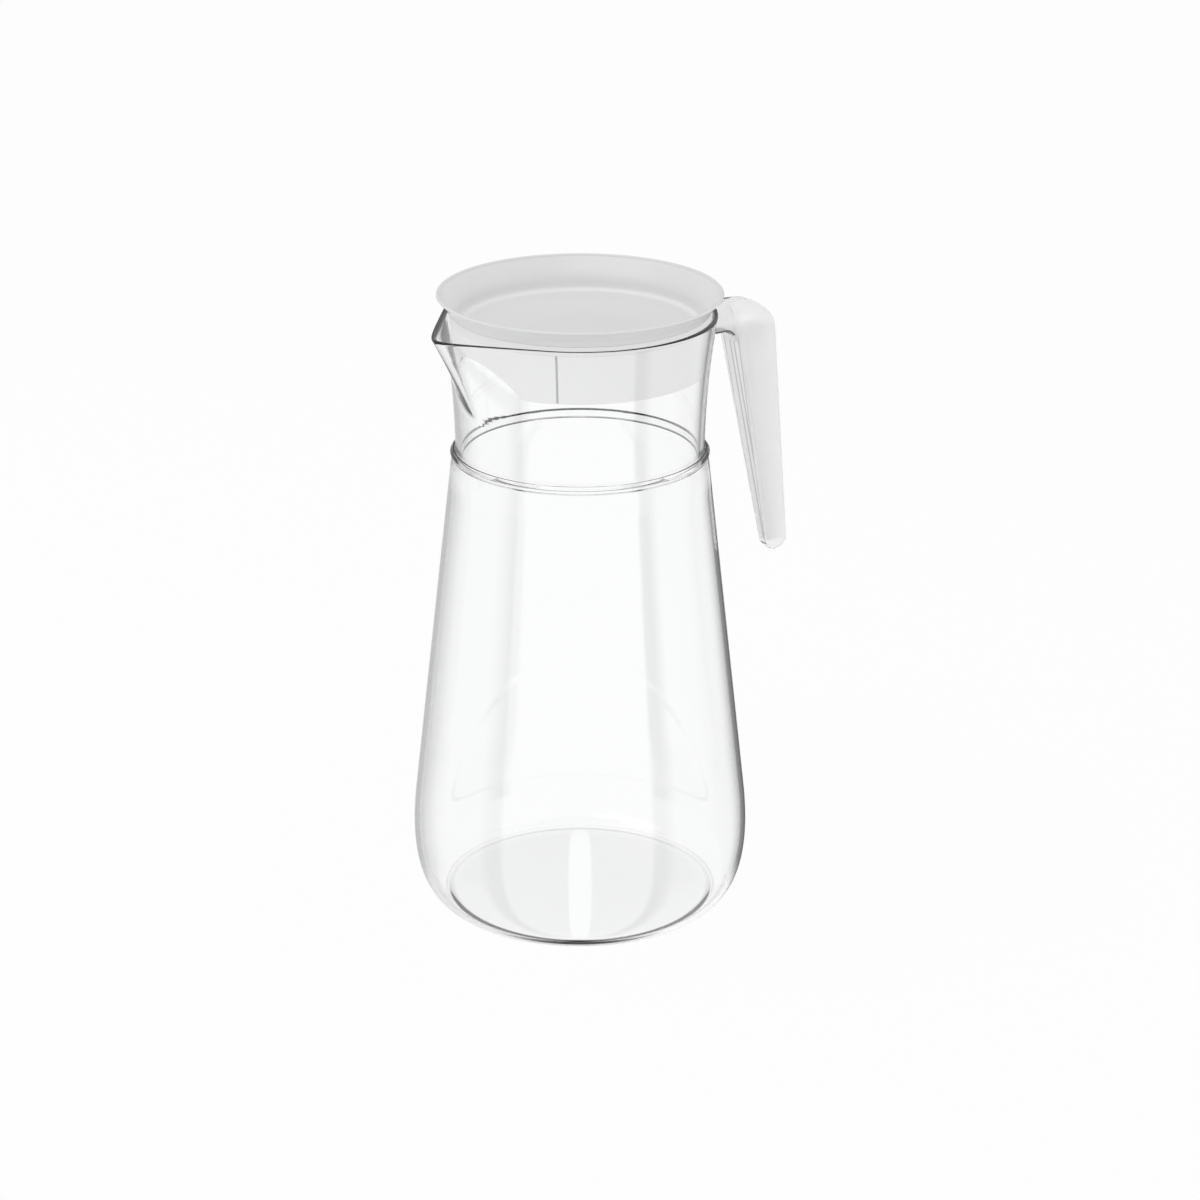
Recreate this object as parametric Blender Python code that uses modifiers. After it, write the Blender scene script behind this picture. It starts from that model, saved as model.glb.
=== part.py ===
"""Clear plastic jug with a spouted collar, an open-ended handle and a white turning lid.

Metres, +Z up. The origin is the centre of the flat base. The spout points along -X and the
handle along +X.
"""
import math

import bmesh
import bpy

# Body: a turned vessel that narrows from the heel to a beaded top edge.
BODY_HEIGHT = 0.1962          # base to the top edge of the body
BASE_RADIUS = 0.0510          # edge of the flat base
BODY_RADIUS = 0.0680          # where the heel curve meets the straight taper
HEEL_HEIGHT = 0.0483          # height of that meeting line
HEEL_REACH = 0.0085           # how far the heel runs on flat past the base edge
HEEL_RISE = 0.0410            # how far the taper's line carries down into the heel
BODY_WALL = 0.0019
FLOOR_THICKNESS = 0.0026
FLOOR_OVERHANG = 0.0016       # flat of the floor beyond the edge of the base
GUTTER_SLOPE = 0.0034         # run of the floor's edge down to the gutter round it
BEAD_HEIGHT = 0.0026
BEAD_PROUD = 0.0005
BEAD_LAND = 0.0002            # upright band at the bead's fullest
BEAD_BEVEL = math.radians(35)  # top of the bead from upright
LIP_WALL = 0.00125            # body wall outside the collar's foot

# Collar: a flared neck whose foot nests in the body's top edge, with a pulled-out spout.
NECK_RADIUS = 0.04985         # outside of the collar at its foot
RIM_RADIUS = 0.0546           # outside of the collar at its rim
COLLAR_HEIGHT = 0.0586
COLLAR_WALL = 0.0022
JOINT_DEPTH = 0.0036          # how deep the collar's foot sits in the body
LEDGE_TAPER = 0.0085          # run of the body's inner wall up to the ledge under the collar
SPOUT_REACH = 0.0182          # where the spout's straight sides would meet, beyond the rim circle
SPOUT_DEPTH = 0.0360          # height over which the spout fades into the neck
SPOUT_TIP_WIDTH = 0.0110      # width of the rounded tip

# Lid: a dish with a flared rim, a plug skirt in the neck and a soft ring between them.
LID_RADIUS = 0.05665
LID_RISE = 0.0085             # lid rim above the collar rim
DISH_DEPTH = 0.0130
DISH_ROUND = 0.0016           # inside corner of the dish
LID_WALL = 0.0016
LID_CLEARANCE = 0.0005        # skirt to the inside of the collar
SKIRT_WALL = 0.0014
SKIRT_DROP = 0.0222           # skirt's lower edge below the collar rim
POUR_HALF_WIDTH = 0.0235      # half of the pour cut-out at the skirt's lower edge
POUR_RISE = 0.0120            # top of the cut-out above that edge
GROOVE_WIDTH = 0.0009
GROOVE_DEPTH = 0.0008
GROOVE_ANGLE = math.radians(45)  # each groove from the middle of the pour cut-out
GROOVE_TOP_BAND = 0.0004      # whole band of skirt above a groove
SEAL_HEIGHT = 0.0028
SEAL_SHELF_RISE = 0.0013      # underside of the lid's flare above the collar rim
SEAL_CHAMFER = 0.0005

# Handle: an arm off the collar and a tapering grip, hollowed from the jug's side.
ARM_DROP = 0.0072             # handle top below the collar rim
ARM_HEIGHT = 0.0125
ARM_THICKNESS = 0.0052
ARM_FILLET = 0.0050           # under the arm, into the grip
FINGER_GAP = 0.0222           # collar neck to the grip's inner edge, at the handle's top
GRIP_LENGTH = 0.1133
GRIP_LEAN = math.radians(11.2)  # inner edge of the grip from upright
GRIP_DEPTH_TOP = 0.0186
GRIP_DEPTH_TIP = 0.0110
GRIP_WIDTH_TOP = 0.0068
GRIP_WIDTH_BROAD = 0.0174
GRIP_WIDTH_TIP = 0.0060
GRIP_BROAD_DROP = 0.0112      # broadest place below the handle's top
GRIP_SHOULDER = 0.0120        # radius of the outer bend from the arm to the grip
GRIP_TIP_ROUND = 0.0055
GRIP_CORNER = 0.0020
GRIP_WALL = 0.0026            # outer wall of the grip
GRIP_SIDE_WALL = 0.0040       # side walls where the grip is broadest, thinner towards the tip

# Fits
FIT_GAP = 0.0003              # between pieces that seat on each other

# Facets
TURN_STEPS = 60
COLLAR_STEPS = 64
ARC_STEPS = 6
SPOUT_CROWDING = 0.45         # how far the collar's facets crowd towards the spout

# Heights that follow from the sizes above
COLLAR_FOOT = BODY_HEIGHT - JOINT_DEPTH + FIT_GAP
RIM_HEIGHT = COLLAR_FOOT + COLLAR_HEIGHT
LID_TOP = RIM_HEIGHT + LID_RISE
DISH_FLOOR = LID_TOP - DISH_DEPTH
CUP_BOTTOM = DISH_FLOOR - LID_WALL
SKIRT_BOTTOM = RIM_HEIGHT - SKIRT_DROP
SEAL_SHELF = RIM_HEIGHT + SEAL_SHELF_RISE
SEAL_TOP = SEAL_SHELF - FIT_GAP
SEAL_BOTTOM = SEAL_TOP - SEAL_HEIGHT
SKIRT_TOP = SEAL_BOTTOM - FIT_GAP
HANDLE_TOP = RIM_HEIGHT - ARM_DROP
ARM_UNDERSIDE = HANDLE_TOP - ARM_HEIGHT
GRIP_TIP = HANDLE_TOP - GRIP_LENGTH


def collar_radius(height):
    """Outside radius of the plain collar at a height: an arc, upright at the foot."""
    flare = RIM_RADIUS - NECK_RADIUS
    bend = (COLLAR_HEIGHT ** 2 + flare ** 2) / (2 * flare)
    climb = min(max(height - COLLAR_FOOT, 0.0), COLLAR_HEIGHT)
    return NECK_RADIUS + bend - math.sqrt(bend ** 2 - climb ** 2)


def neck_bore(height):
    """Inside radius of the plain collar at a height."""
    return collar_radius(height) - COLLAR_WALL


CUP_RADIUS = neck_bore(CUP_BOTTOM) - LID_CLEARANCE - SKIRT_WALL - FIT_GAP
SKIRT_BORE = CUP_RADIUS + FIT_GAP


def arc(centre, radius, start, end, steps=ARC_STEPS):
    """Points on a circular arc between two angles in radians, both ends included."""
    points = []
    for step in range(steps + 1):
        angle = start + (end - start) * step / steps
        points.append((centre[0] + radius * math.cos(angle), centre[1] + radius * math.sin(angle)))
    return points


def bezier(start, pull_start, pull_end, end, steps):
    """Points on a cubic curve, both ends included."""
    points = []
    for step in range(steps + 1):
        t = step / steps
        weights = ((1 - t) ** 3, 3 * t * (1 - t) ** 2, 3 * t ** 2 * (1 - t), t ** 3)
        corners = (start, pull_start, pull_end, end)
        points.append(tuple(sum(w * c[axis] for w, c in zip(weights, corners)) for axis in (0, 1)))
    return points


def offset_inward(points, distance):
    """A curve moved to its left-hand side by a distance."""
    moved = []
    for index, (x, z) in enumerate(points):
        before = points[max(index - 1, 0)]
        after = points[min(index + 1, len(points) - 1)]
        run = (after[0] - before[0], after[1] - before[1])
        length = math.hypot(*run)
        moved.append((x - run[1] / length * distance, z + run[0] / length * distance))
    return moved


def spread(start, end, steps):
    """Evenly spaced values, both ends included."""
    return [start + (end - start) * step / steps for step in range(steps + 1)]


def clear_scene():
    """Remove whatever the open file holds."""
    for item in list(bpy.data.objects):
        bpy.data.objects.remove(item, do_unlink=True)


def new_collection(name):
    """A collection linked to the scene."""
    collection = bpy.data.collections.new(name)
    bpy.context.scene.collection.children.link(collection)
    return collection


def plastic(name, colour, roughness, alpha=1.0):
    """A Principled material for one sub-part."""
    material = bpy.data.materials.new(name)
    material.use_nodes = True
    shader = material.node_tree.nodes["Principled BSDF"]
    shader.inputs["Base Color"].default_value = (*colour, 1.0)
    shader.inputs["Roughness"].default_value = roughness
    shader.inputs["Metallic"].default_value = 0.0
    shader.inputs["Alpha"].default_value = alpha
    return material


def add_object(name, mesh, collection, material=None):
    """Put a mesh in a collection as a named object."""
    item = bpy.data.objects.new(name, mesh)
    collection.objects.link(item)
    if material:
        mesh.materials.append(material)
    return item


def turned(name, profile, collection, material=None, closed=False, steps=TURN_STEPS):
    """Turn a profile of (radius, height) points about Z. A closed profile makes a ring."""
    outline = bmesh.new()
    verts = [outline.verts.new((radius, 0.0, height)) for radius, height in profile]
    pairs = list(zip(verts, verts[1:]))
    if closed:
        pairs.append((verts[-1], verts[0]))
    for pair in pairs:
        outline.edges.new(pair)
    mesh = bpy.data.meshes.new(name)
    outline.to_mesh(mesh)
    outline.free()
    item = add_object(name, mesh, collection, material)
    screw = item.modifiers.new("turn", "SCREW")
    screw.axis = "Z"
    screw.steps = steps
    screw.render_steps = steps
    screw.use_merge_vertices = True
    screw.merge_threshold = 0.00001
    screw.use_smooth_shade = True
    return item


def as_mesh(item):
    """Replace an object's modifiers or curve by the mesh that they make."""
    bpy.context.view_layer.update()
    graph = bpy.context.evaluated_depsgraph_get()
    mesh = bpy.data.meshes.new_from_object(item.evaluated_get(graph))
    welded = bmesh.new()
    welded.from_mesh(mesh)
    bmesh.ops.remove_doubles(welded, verts=welded.verts, dist=0.000001)
    bmesh.ops.recalc_face_normals(welded, faces=welded.faces)
    welded.to_mesh(mesh)
    welded.free()
    made = bpy.data.objects.new(item.name, mesh)
    made.matrix_world = item.matrix_world
    for collection in item.users_collection:
        collection.objects.link(made)
    name = item.name
    bpy.data.objects.remove(item, do_unlink=True)
    made.name = name
    return made


def loft(name, rings, collection, material=None):
    """Join equal rings of points into one closed body with a cap at each end."""
    body = bmesh.new()
    loops = [[body.verts.new(point) for point in ring] for ring in rings]
    count = len(rings[0])
    for lower, upper in zip(loops, loops[1:]):
        for index in range(count):
            after = (index + 1) % count
            body.faces.new((lower[index], lower[after], upper[after], upper[index]))
    body.faces.new(list(reversed(loops[0])))
    body.faces.new(loops[-1])
    bmesh.ops.recalc_face_normals(body, faces=body.faces)
    mesh = bpy.data.meshes.new(name)
    body.to_mesh(mesh)
    body.free()
    return add_object(name, mesh, collection, material)


def plate(name, outline, thickness, collection):
    """A flat outline of (x, z) points, thickened evenly to both sides of the XZ plane."""
    curve = bpy.data.curves.new(name, "CURVE")
    curve.dimensions = "2D"
    curve.fill_mode = "BOTH"
    curve.extrude = thickness / 2
    spline = curve.splines.new("POLY")
    spline.points.add(len(outline) - 1)
    for point, (x, z) in zip(spline.points, outline):
        point.co = (x, z, 0.0, 1.0)
    spline.use_cyclic_u = True
    item = bpy.data.objects.new(name, curve)
    item.rotation_euler = (math.pi / 2, 0.0, 0.0)
    collection.objects.link(item)
    return as_mesh(item)


def hide_cutter(item):
    """Mark an object as a guide that is not a piece of the jug."""
    item.hide_render = True
    item.display_type = "WIRE"


def combine(item, other, operation):
    """Cut or join one object with another."""
    hide_cutter(other)
    step = item.modifiers.new(operation.lower(), "BOOLEAN")
    step.operation = operation
    step.solver = "EXACT"
    step.object = other


def shade_round(item, angle=math.radians(35)):
    """Shade smooth, with real edges kept sharp."""
    item.data.shade_smooth()
    item.data.set_sharp_from_angle(angle=angle)


def make_body(parts):
    """The vessel: heel curve, straight taper, bead, and a rebate for the collar's foot."""
    rebate = NECK_RADIUS + FIT_GAP
    top_radius = rebate + LIP_WALL
    bead_bottom = BODY_HEIGHT - BEAD_HEIGHT
    taper = (top_radius - BODY_RADIUS, bead_bottom - HEEL_HEIGHT)
    length = math.hypot(*taper)
    pull = (BODY_RADIUS - taper[0] / length * HEEL_RISE, HEEL_HEIGHT - taper[1] / length * HEEL_RISE)
    heel = bezier((BASE_RADIUS, 0.0), (BASE_RADIUS + HEEL_REACH, 0.0), pull,
                  (BODY_RADIUS, HEEL_HEIGHT), 10)
    bead_radius = top_radius + BEAD_PROUD
    bead_flank = BEAD_HEIGHT / 3
    bevel_drop = BEAD_HEIGHT - bead_flank - BEAD_LAND
    outside = heel + [
        (top_radius, bead_bottom),
        (bead_radius, bead_bottom + bead_flank),
        (bead_radius, BODY_HEIGHT - bevel_drop),
        (bead_radius - bevel_drop * math.tan(BEAD_BEVEL), BODY_HEIGHT),
    ]
    ledge = BODY_HEIGHT - JOINT_DEPTH
    ledge_radius = neck_bore(COLLAR_FOOT)
    floor_edge = BASE_RADIUS + FLOOR_OVERHANG
    gutter = floor_edge + GUTTER_SLOPE
    inner_heel = [(radius, height) for radius, height in offset_inward(heel, BODY_WALL) if radius > gutter]
    taper_end = bead_bottom - LEDGE_TAPER
    share = (taper_end - HEEL_HEIGHT) / taper[1]
    inside = [(floor_edge, FLOOR_THICKNESS), (gutter, BODY_WALL)] + inner_heel + [
        (BODY_RADIUS + taper[0] * share - BODY_WALL, taper_end),
        (ledge_radius, ledge - FIT_GAP),
        (ledge_radius, ledge),
        (rebate, ledge),
        (rebate, BODY_HEIGHT),
    ]
    profile = [(0.0, FLOOR_THICKNESS)] + inside + list(reversed(outside)) + [(0.0, 0.0)]
    clear = plastic("body_clear", (0.93, 0.94, 0.94), 0.06, 0.25)
    return turned("body", profile, parts, clear)


def pull_spout(mesh):
    """Draw the collar's wall out to the spout on the -X side."""
    for vert in mesh.vertices:
        x, y, height = vert.co
        radius = math.hypot(x, y)
        turn = math.atan2(-y, -x)
        turn -= SPOUT_CROWDING * math.sin(turn)
        climb = min(max((height - RIM_HEIGHT) / SPOUT_DEPTH + 1.0, 0.0), 1.0)
        circle = collar_radius(height)
        tangent = math.acos(circle / (circle + SPOUT_REACH * climb))
        away = math.hypot(turn, SPOUT_TIP_WIDTH / 2 / (circle + SPOUT_REACH))
        draw = circle / math.cos(max(tangent - away, 0.0)) - circle
        vert.co = (-(radius + draw) * math.cos(turn), -(radius + draw) * math.sin(turn), height)


def make_collar(parts):
    """The flared neck with its rounded rim and spout."""
    edge = COLLAR_WALL / 2
    rim_centre = (RIM_RADIUS - edge, RIM_HEIGHT - edge)
    heights = spread(COLLAR_FOOT, RIM_HEIGHT - edge, 9)
    outside = [(collar_radius(height), height) for height in reversed(heights)]
    inside = [(neck_bore(height), height) for height in heights]
    rim = arc(rim_centre, edge, math.radians(150), math.radians(30), 4)
    clear = plastic("collar_clear", (0.93, 0.94, 0.94), 0.06, 0.25)
    blank = turned("collar", rim + outside + inside, parts, clear, True, COLLAR_STEPS)
    collar = as_mesh(blank)
    pull_spout(collar.data)
    shade_round(collar)
    return collar


def make_lid_cover(parts):
    """The dish: floor, flared wall, rounded rim, and the cup that the skirt and ring sit on."""
    lip = LID_WALL / 2
    shelf_radius = neck_bore(RIM_HEIGHT) - LID_CLEARANCE
    dish_radius = CUP_RADIUS - LID_WALL
    corner = arc((dish_radius - DISH_ROUND, DISH_FLOOR + DISH_ROUND), DISH_ROUND,
                 math.radians(-90), math.radians(0), 4)
    inner_rim = (LID_RADIUS - LID_WALL, LID_TOP - lip)
    flare = bezier(corner[-1], (dish_radius, SEAL_SHELF),
                   (shelf_radius - LID_WALL, SEAL_SHELF + LID_RISE / 4), inner_rim, 6)
    rim = arc((LID_RADIUS - lip, LID_TOP - lip), lip, math.radians(180), math.radians(0), 4)
    outer_pull = (shelf_radius + LID_WALL / 2, SEAL_SHELF + LID_RISE / 3)
    outer = bezier((LID_RADIUS, LID_TOP - lip), outer_pull, outer_pull, (shelf_radius, SEAL_SHELF), 5)
    profile = [(0.0, DISH_FLOOR)] + corner + flare[1:] + rim[1:] + outer[1:]
    profile += [(CUP_RADIUS, SEAL_SHELF), (CUP_RADIUS, CUP_BOTTOM), (0.0, CUP_BOTTOM)]
    white = plastic("lid_white", (0.84, 0.84, 0.85), 0.45)
    return turned("lid_cover", profile, parts, white)


def make_lid_skirt(parts, cutters):
    """The plug in the neck, with the arched pour cut-out and a groove to each side of it."""
    heights = spread(SKIRT_BOTTOM, SKIRT_TOP, 5)
    outside = [(neck_bore(height) - LID_CLEARANCE, height) for height in reversed(heights)]
    inner_foot = outside[-1][0] - SKIRT_WALL
    inside = [(inner_foot, SKIRT_BOTTOM), (SKIRT_BORE, CUP_BOTTOM), (SKIRT_BORE, SKIRT_TOP)]
    white = plastic("skirt_white", (0.88, 0.88, 0.89), 0.40)
    skirt = turned("lid_skirt", outside + inside, parts, white, True)

    arch_radius = (POUR_HALF_WIDTH ** 2 + POUR_RISE ** 2) / (2 * POUR_RISE)
    bpy.ops.mesh.primitive_cylinder_add(
        vertices=96, radius=arch_radius, depth=RIM_RADIUS,
        location=(-RIM_RADIUS / 2 - SKIRT_WALL, 0.0, SKIRT_BOTTOM + POUR_RISE - arch_radius),
        rotation=(0.0, math.pi / 2, 0.0))
    arch = bpy.context.active_object
    arch.name = "pour_arch_cutter"
    move_to(arch, cutters)
    combine(skirt, arch, "DIFFERENCE")

    groove_top = SKIRT_TOP - GROOVE_TOP_BAND
    groove_bottom = SKIRT_BOTTOM - SKIRT_WALL
    groove_foot = outside[-1][0] - GROOVE_DEPTH
    lean = math.atan2(outside[0][0] - outside[-1][0], SKIRT_TOP - SKIRT_BOTTOM)
    for side in (-1, 1):
        direction = math.pi + side * GROOVE_ANGLE
        middle_height = (groove_top + groove_bottom) / 2
        reach = groove_foot + (middle_height - SKIRT_BOTTOM) * math.tan(lean) + SKIRT_WALL
        middle = (reach * math.cos(direction), reach * math.sin(direction), middle_height)
        bpy.ops.mesh.primitive_cube_add(size=1.0, location=middle, rotation=(0.0, lean, direction))
        groove = bpy.context.active_object
        groove.name = "groove_cutter"
        groove.scale = (2 * SKIRT_WALL, GROOVE_WIDTH, groove_top - groove_bottom)
        move_to(groove, cutters)
        combine(skirt, groove, "DIFFERENCE")
    return skirt


def move_to(item, collection):
    """Leave an object in one collection only."""
    for other in list(item.users_collection):
        other.objects.unlink(item)
    collection.objects.link(item)


def make_lid_seal(parts):
    """The soft ring between the dish and the skirt, chamfered where it meets the neck."""
    outer = neck_bore(SEAL_BOTTOM) - FIT_GAP
    inner = CUP_RADIUS + FIT_GAP
    profile = [
        (outer - SEAL_CHAMFER, SEAL_TOP),
        (outer, SEAL_TOP - SEAL_CHAMFER),
        (outer, SEAL_BOTTOM + SEAL_CHAMFER),
        (outer - SEAL_CHAMFER, SEAL_BOTTOM),
        (inner, SEAL_BOTTOM),
        (inner, SEAL_TOP),
    ]
    soft = plastic("seal_soft", (0.80, 0.80, 0.79), 0.55)
    return turned("lid_seal", profile, parts, soft, True)


def grip_inner(height):
    """Distance of the grip's inner edge from the jug's axis at a height."""
    return NECK_RADIUS + FINGER_GAP + (HANDLE_TOP - height) * math.tan(GRIP_LEAN)


def grip_section(height, wall=0.0, reach=0.0):
    """The grip's rounded section at a height, or the hollow a wall inside it.

    The hollow reaches out past the inner edge, towards the jug.
    """
    along = (HANDLE_TOP - height) / GRIP_LENGTH
    inner = grip_inner(height)
    outer = inner + GRIP_DEPTH_TOP + (GRIP_DEPTH_TIP - GRIP_DEPTH_TOP) * along
    over = max(height - (HANDLE_TOP - GRIP_SHOULDER), 0.0)
    outer -= GRIP_SHOULDER - math.sqrt(max(GRIP_SHOULDER ** 2 - over ** 2, 0.0))
    drop = HANDLE_TOP - height
    if drop < GRIP_BROAD_DROP:
        swell = math.sin(math.pi / 2 * drop / GRIP_BROAD_DROP)
        width = GRIP_WIDTH_TOP + (GRIP_WIDTH_BROAD - GRIP_WIDTH_TOP) * swell
    else:
        taper = (drop - GRIP_BROAD_DROP) / (GRIP_LENGTH - GRIP_BROAD_DROP)
        width = GRIP_WIDTH_BROAD + (GRIP_WIDTH_TIP - GRIP_WIDTH_BROAD) * taper
    under = max(GRIP_TIP + GRIP_TIP_ROUND - height, 0.0) / GRIP_TIP_ROUND
    shrink = math.sqrt(max(1.0 - under ** 2, 0.02))
    if wall == 0.0:
        middle = (inner + outer) / 2
        inner = middle + (inner - middle) * shrink
        outer = middle + (outer - middle) * shrink
        width *= shrink
    else:
        width -= 2 * GRIP_SIDE_WALL * width / GRIP_WIDTH_BROAD
    inner -= reach
    outer -= wall
    corner = min(GRIP_CORNER, 0.4 * width, 0.4 * (outer - inner))
    ring = []
    for sign_x, sign_y, start in ((1, 1, 0), (-1, 1, 90), (-1, -1, 180), (1, -1, 270)):
        middle_x = (outer if sign_x > 0 else inner) - sign_x * corner
        middle_y = sign_y * (width / 2 - corner)
        for x, y in arc((middle_x, middle_y), corner, math.radians(start), math.radians(start + 90), 3):
            ring.append((x, y, height))
    return ring


def make_handle(parts, cutters):
    """Grip, its hollow, the arm that carries it and the arm's seat on the collar."""
    shoulder_start = HANDLE_TOP - GRIP_SHOULDER
    tip_end = GRIP_TIP + GRIP_TIP_ROUND
    tip = [tip_end - GRIP_TIP_ROUND * math.cos(angle) for angle in spread(0.0, math.pi / 2, 4)]
    shoulder = [shoulder_start + GRIP_SHOULDER * math.sin(angle) for angle in spread(0.0, math.pi / 2, 6)]
    heights = tip + spread(tip_end, shoulder_start, 8)[1:-1] + shoulder
    milky = plastic("handle_milky", (0.90, 0.90, 0.90), 0.22, 0.6)
    handle = loft("handle", [grip_section(height) for height in heights], parts, milky)

    hollow_heights = spread(GRIP_TIP + GRIP_WALL + GRIP_TIP_ROUND / 2, ARM_UNDERSIDE, 10)
    hollow = loft("grip_hollow_cutter",
                  [grip_section(height, GRIP_WALL, 2 * GRIP_CORNER) for height in hollow_heights], cutters)
    combine(handle, hollow, "DIFFERENCE")

    arm_top = HANDLE_TOP - FIT_GAP
    fillet_foot = ARM_UNDERSIDE - ARM_FILLET
    fillet_edge = grip_inner(fillet_foot)
    outline = [
        (NECK_RADIUS, arm_top),
        (grip_inner(HANDLE_TOP) + GRIP_WALL, arm_top),
        (fillet_edge + GRIP_DEPTH_TIP + GRIP_WALL, fillet_foot),
    ]
    outline += arc((fillet_edge - ARM_FILLET, fillet_foot), ARM_FILLET, 0.0, math.pi / 2)
    outline.append((NECK_RADIUS, ARM_UNDERSIDE))
    arm = plate("arm_blank", outline, ARM_THICKNESS, cutters)
    combine(handle, arm, "UNION")

    heights = spread(ARM_UNDERSIDE - ARM_HEIGHT, RIM_HEIGHT, 8)
    seat = [(0.0, heights[-1])]
    seat += [(collar_radius(height) + FIT_GAP, height) for height in reversed(heights)]
    seat.append((0.0, heights[0]))
    combine(handle, turned("collar_seat_cutter", seat, cutters), "DIFFERENCE")
    shade_round(handle)
    return handle


def place_on_axis(item, height, parts):
    """Give a turning piece an empty on the lid's axis as its parent."""
    axis = bpy.data.objects.get("lid_axis")
    if axis is None:
        axis = bpy.data.objects.new("lid_axis", None)
        axis.location = (0.0, 0.0, height)
        parts.objects.link(axis)
        bpy.context.view_layer.update()
    item.parent = axis
    item.matrix_parent_inverse = axis.matrix_world.inverted()


def main():
    """Build every piece of the jug."""
    clear_scene()
    parts = new_collection("plastic_jug")
    cutters = new_collection("cutters")
    make_body(parts)
    make_collar(parts)
    make_handle(parts, cutters)
    for piece in (make_lid_cover(parts), make_lid_skirt(parts, cutters), make_lid_seal(parts)):
        place_on_axis(piece, RIM_HEIGHT, parts)


main()
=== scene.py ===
"""Clear plastic jug: tapering body, spouted collar, hanging handle and a white turning lid.

Metres, +Z up, in the CAD model's frame. The spout points along -X and the handle along +X.
"""
from __future__ import annotations

import logging
import math
from dataclasses import dataclass
from enum import Enum
from typing import Any, Callable, Iterable, Sequence

import bmesh
import bpy
from mathutils import Matrix, Vector

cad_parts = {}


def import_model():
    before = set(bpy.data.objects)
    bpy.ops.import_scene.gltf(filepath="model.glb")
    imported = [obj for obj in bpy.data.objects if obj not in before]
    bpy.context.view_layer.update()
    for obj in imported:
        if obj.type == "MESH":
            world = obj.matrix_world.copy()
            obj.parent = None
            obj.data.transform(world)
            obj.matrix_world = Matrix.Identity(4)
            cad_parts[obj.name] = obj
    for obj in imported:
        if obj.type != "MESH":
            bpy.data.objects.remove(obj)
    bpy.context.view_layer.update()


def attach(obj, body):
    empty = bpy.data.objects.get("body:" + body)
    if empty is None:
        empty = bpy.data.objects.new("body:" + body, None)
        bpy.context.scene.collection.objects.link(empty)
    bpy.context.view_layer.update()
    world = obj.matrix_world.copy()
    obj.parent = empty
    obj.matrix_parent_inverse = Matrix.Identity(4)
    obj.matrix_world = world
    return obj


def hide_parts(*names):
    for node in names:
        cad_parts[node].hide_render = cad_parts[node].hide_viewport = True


LOG = logging.getLogger("jug")
Point = tuple[float, float]
Colour = tuple[float, float, float]
PaintedShading = Callable[["Shading", "Socket"], "Socket"]
WHITE = (1.0, 1.0, 1.0, 1.0)


class Carrier(Enum):
    """The moving bodies that pieces ride on."""

    JUG = "jug"
    RING = "ring"
    LID = "lid"


class Cut(Enum):
    """Ways of combining two solids."""

    AWAY = "DIFFERENCE"
    JOIN = "UNION"


class Socket:
    """A shader socket that takes part in Python expressions."""

    def __init__(self, tree: "Shading", link: bpy.types.NodeSocket) -> None:
        """Keep the node tree and the socket."""
        self.tree = tree
        self.link = link

    def _maths(self, operation: str, first: Any, second: Any) -> "Socket":
        """Add one Math node.

        Args:
            operation: Math node operation.
            first: Left-hand value or socket.
            second: Right-hand value or socket.

        Returns:
            The node's result.
        """
        return self.tree.node("ShaderNodeMath", {"operation": operation}, {0: first, 1: second})

    def __add__(self, other: Any) -> "Socket":
        """Sum."""
        return self._maths("ADD", self, other)

    __radd__ = __add__

    def __sub__(self, other: Any) -> "Socket":
        """Difference."""
        return self._maths("SUBTRACT", self, other)

    def __rsub__(self, other: Any) -> "Socket":
        """Difference from a number."""
        return self._maths("SUBTRACT", other, self)

    def __mul__(self, other: Any) -> "Socket":
        """Product."""
        return self._maths("MULTIPLY", self, other)

    __rmul__ = __mul__

    def __pow__(self, other: Any) -> "Socket":
        """Power."""
        return self._maths("POWER", self, other)

    def __truediv__(self, other: Any) -> "Socket":
        """Quotient."""
        return self._maths("DIVIDE", self, other)

    def size(self) -> "Socket":
        """The value without its sign."""
        return self._maths("ABSOLUTE", self, 0.0)

    def bearing(self, other: "Socket") -> "Socket":
        """Angle of the vector (other, self), in radians."""
        return self._maths("ARCTAN2", self, other)

    def reach(self, other: "Socket") -> "Socket":
        """Length of the vector (self, other)."""
        return (self * self + other * other) ** 0.5

    def either(self, other: Any) -> "Socket":
        """The larger of two values."""
        return self._maths("MAXIMUM", self, other)


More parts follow.
